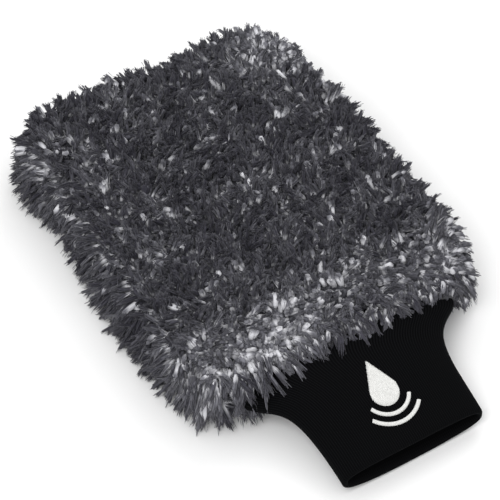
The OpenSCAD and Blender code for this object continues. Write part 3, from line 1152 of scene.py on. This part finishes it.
def makeStitch():
    # one stitch: a six-sided thread, tapered where it enters the knit
    bpy.ops.mesh.primitive_circle_add(vertices=6, radius=1, fill_type="NGON")
    stitch = newest("stitch")
    editWhole()
    for _ in range(motif["steps"]):
        bpy.ops.mesh.extrude_region_move(TRANSFORM_OT_translate={"value": (0, 0, 1 / motif["steps"])})
    bpy.ops.mesh.select_all(action="SELECT")
    turnOutwards()
    verts = readVerts(stitch.data)
    faces = [tuple(p.vertices) for p in stitch.data.polygons]
    bpy.data.objects.remove(stitch)
    return verts, faces


def layStitches(name, stitches, node):
    proto, protoFaces = makeStitch()
    across, up, along = proto.T
    verts, faces = [], []
    for index, (start, end) in enumerate(stitches):
        start, end = np.array(start), np.array(end)
        length = np.linalg.norm(end - start)
        way = (end - start) / length
        side = np.array([-way[1], way[0]])
        arch = np.clip(np.minimum(along, 1 - along) * length / motif["taper"], 0, 1)
        arch = np.sqrt(1 - (1 - arch) ** 2)
        thread = motif["threadHalf"]
        flat = start + np.outer(along * length, way) + np.outer(across * thread, side)
        x, u = flat[:, 0], motif["at"] - flat[:, 1]
        lift = -motif["sink"] + arch * (motif["rise"] - motif["sink"]) + up * thread * motif["roundness"]
        z = cuffFace(x, u, 1.0) + lift
        verts.append(np.stack([x * mm, mitt["seamY"] - u * mm, z * mm], axis=1))
        faces += [tuple(i + index * len(proto) for i in face) for face in protoFaces]
    mesh = bpy.data.meshes.new(name)
    mesh.from_pydata(np.concatenate(verts).tolist(), [], faces)
    ob = linkNew(name, mesh)
    bpy.ops.object.shade_smooth()
    dress(ob, satinThread, "embroidery_thread", node)
    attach(ob, "cuff")


layStitches("dropStitching", dropStitches(), "emblem_drop")
layStitches("rippleStitching", rippleStitches(), "emblem_ripples")
print("embroidery made")


bag = {"cuts": 5, "waveSize": 0.04, "wave": 1.2, "sag": 0.6}


def makeBag(name, high, thickness, material, slotName, nodes):
    # a flat bag, open towards the cuff, that sags a little between its edges
    halfWidth, length = high.x, high.y - mitt["seamY"]
    height = 2 * (high.z - mitt["middle"])
    middle = (0, mitt["seamY"] + length / 2, mitt["middle"])
    bpy.ops.mesh.primitive_cube_add(size=1, location=middle, scale=(2 * halfWidth, length, height))
    sack = newest(name)
    applyPlace(sack)
    bpy.ops.object.mode_set(mode="EDIT")
    bpy.ops.mesh.select_all(action="DESELECT")
    bpy.ops.object.mode_set(mode="OBJECT")
    for polygon in sack.data.polygons:
        polygon.select = polygon.normal.y < -0.5
    bpy.ops.object.mode_set(mode="EDIT")
    bpy.ops.mesh.select_mode(type="FACE")
    bpy.ops.mesh.delete(type="FACE")
    bpy.ops.mesh.select_all(action="SELECT")
    bpy.ops.mesh.subdivide(number_cuts=bag["cuts"])
    bpy.ops.object.mode_set(mode="OBJECT")
    rounding = sack.modifiers.new("rounding", "SUBSURF")
    rounding.levels = 2
    applyModifiers(sack)
    co = readVerts(sack.data)
    flat = noiseAt(co, bag["waveSize"], 3.0) * bag["wave"] * mm
    inward = np.sign(co[:, 2] - mitt["middle"]) * (1 - smooth(0.75, 1.0, np.abs(co[:, 0]) / halfWidth))
    co[:, 2] -= inward * (bag["sag"] * mm + np.abs(flat))
    writeVerts(sack.data, co)
    wall = sack.modifiers.new("wall", "SOLIDIFY")
    wall.thickness, wall.offset = thickness * mm, -1
    applyModifiers(sack)
    bpy.ops.object.shade_smooth_by_angle(angle=math.radians(40))
    dress(sack, material, slotName, *nodes)
    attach(sack, "mitt_body")


makeBag("pileBacking", groundHigh, 1.4, backingCloth, "backing_knit", ("back_ground", "palm_ground"))
makeBag("pocketLining", linerHigh, 0.9, liningCloth, "lining", ("back_liner", "palm_liner"))
carried = (("side_seam", overlockThread), ("liner_seam", overlockThread), ("emblem_backing", stiffFelt))
for name, material in carried:
    cadNodes[name].data.materials.clear()
    cadNodes[name].data.materials.append(material)


def makeJoinSeam():
    # the overlocked edge inside the cuff's root
    seam = linkNew("joinSeam", cadNodes["cuff_join_seam"].data.copy())
    editWhole()
    bpy.ops.mesh.remove_doubles(threshold=0.00001)
    bpy.ops.mesh.tris_convert_to_quads()
    bpy.ops.mesh.subdivide(number_cuts=1)
    turnOutwards()
    bpy.ops.object.shade_smooth_by_angle(angle=math.radians(40))
    dress(seam, overlockThread, "sewing_thread", "cuff_join_seam")
    bendWithCuff(seam)


makeJoinSeam()
print("inner bags and seams dressed")

view = {
    "azimuth": -29.49,
    "elevation": 48.58,
    "distance": 1.5845,
    "lens": 180.0,
    "target": (0.0, 0.034, 0.026),
    "right": 0.0039,
    "up": -0.0248,
}


def placeCamera():
    turn, lift = math.radians(view["azimuth"]), math.radians(view["elevation"])
    back = Vector((math.sin(turn) * math.cos(lift), -math.cos(turn) * math.cos(lift), math.sin(lift)))
    right = Vector((math.cos(turn), math.sin(turn), 0))
    up = back.cross(right)
    place = Vector(view["target"]) + back * view["distance"] + right * view["right"] + up * view["up"]
    camera = bpy.data.objects.new("camera", bpy.data.cameras.new("camera"))
    bpy.context.scene.collection.objects.link(camera)
    axes = Matrix((right, up, back)).transposed().to_4x4()
    camera.matrix_world = Matrix.Translation(place) @ axes
    camera.data.lens = view["lens"]
    camera.data.clip_end = 20
    bpy.context.scene.camera = camera


def addLight(name, place, target, size, power):
    lamp = bpy.data.lights.new(name, "AREA")
    lamp.shape, lamp.size, lamp.energy = "DISK", size, power
    ob = bpy.data.objects.new(name, lamp)
    bpy.context.scene.collection.objects.link(ob)
    ob.location = place
    ob.rotation_euler = (Vector(target) - Vector(place)).to_track_quat("-Z", "Y").to_euler()


studio = {
    "floorSize": 8,
    "floorColours": ((0.86, 0.86, 0.86, 1), (0.88, 0.88, 0.88, 1)),
    "sky": 0.9,
    "lights": (("keyLight", (-0.9, -0.7, 1.6), 1.0, 16), ("fillLight", (1.0, 0.9, 1.5), 1.2, 7)),
}


def makeStudio():
    bpy.ops.mesh.primitive_plane_add(size=studio["floorSize"], location=(0, 0, 0))
    floor = newest("floor")
    material, tree, bsdf = newMaterial("paleFloor", Roughness=0.6)
    place = tree.nodes.new("ShaderNodeTexCoord")
    grain = ramp(tree, noiseTexture(tree, place.outputs["Object"], 3.0), 0.3, 0.7)
    tree.links.new(mixColours(tree, grain, *studio["floorColours"]), bsdf.inputs["Base Color"])
    floor.data.materials.append(material)
    world = bpy.data.worlds.new("studio")
    world.use_nodes = True
    world.node_tree.nodes["Background"].inputs["Color"].default_value = (1, 1, 1, 1)
    world.node_tree.nodes["Background"].inputs["Strength"].default_value = studio["sky"]
    bpy.context.scene.world = world
    for name, place, size, power in studio["lights"]:
        addLight(name, place, (0, 0, 0), size, power)


placeCamera()
makeStudio()
bpy.context.scene.view_settings.view_transform = "Standard"
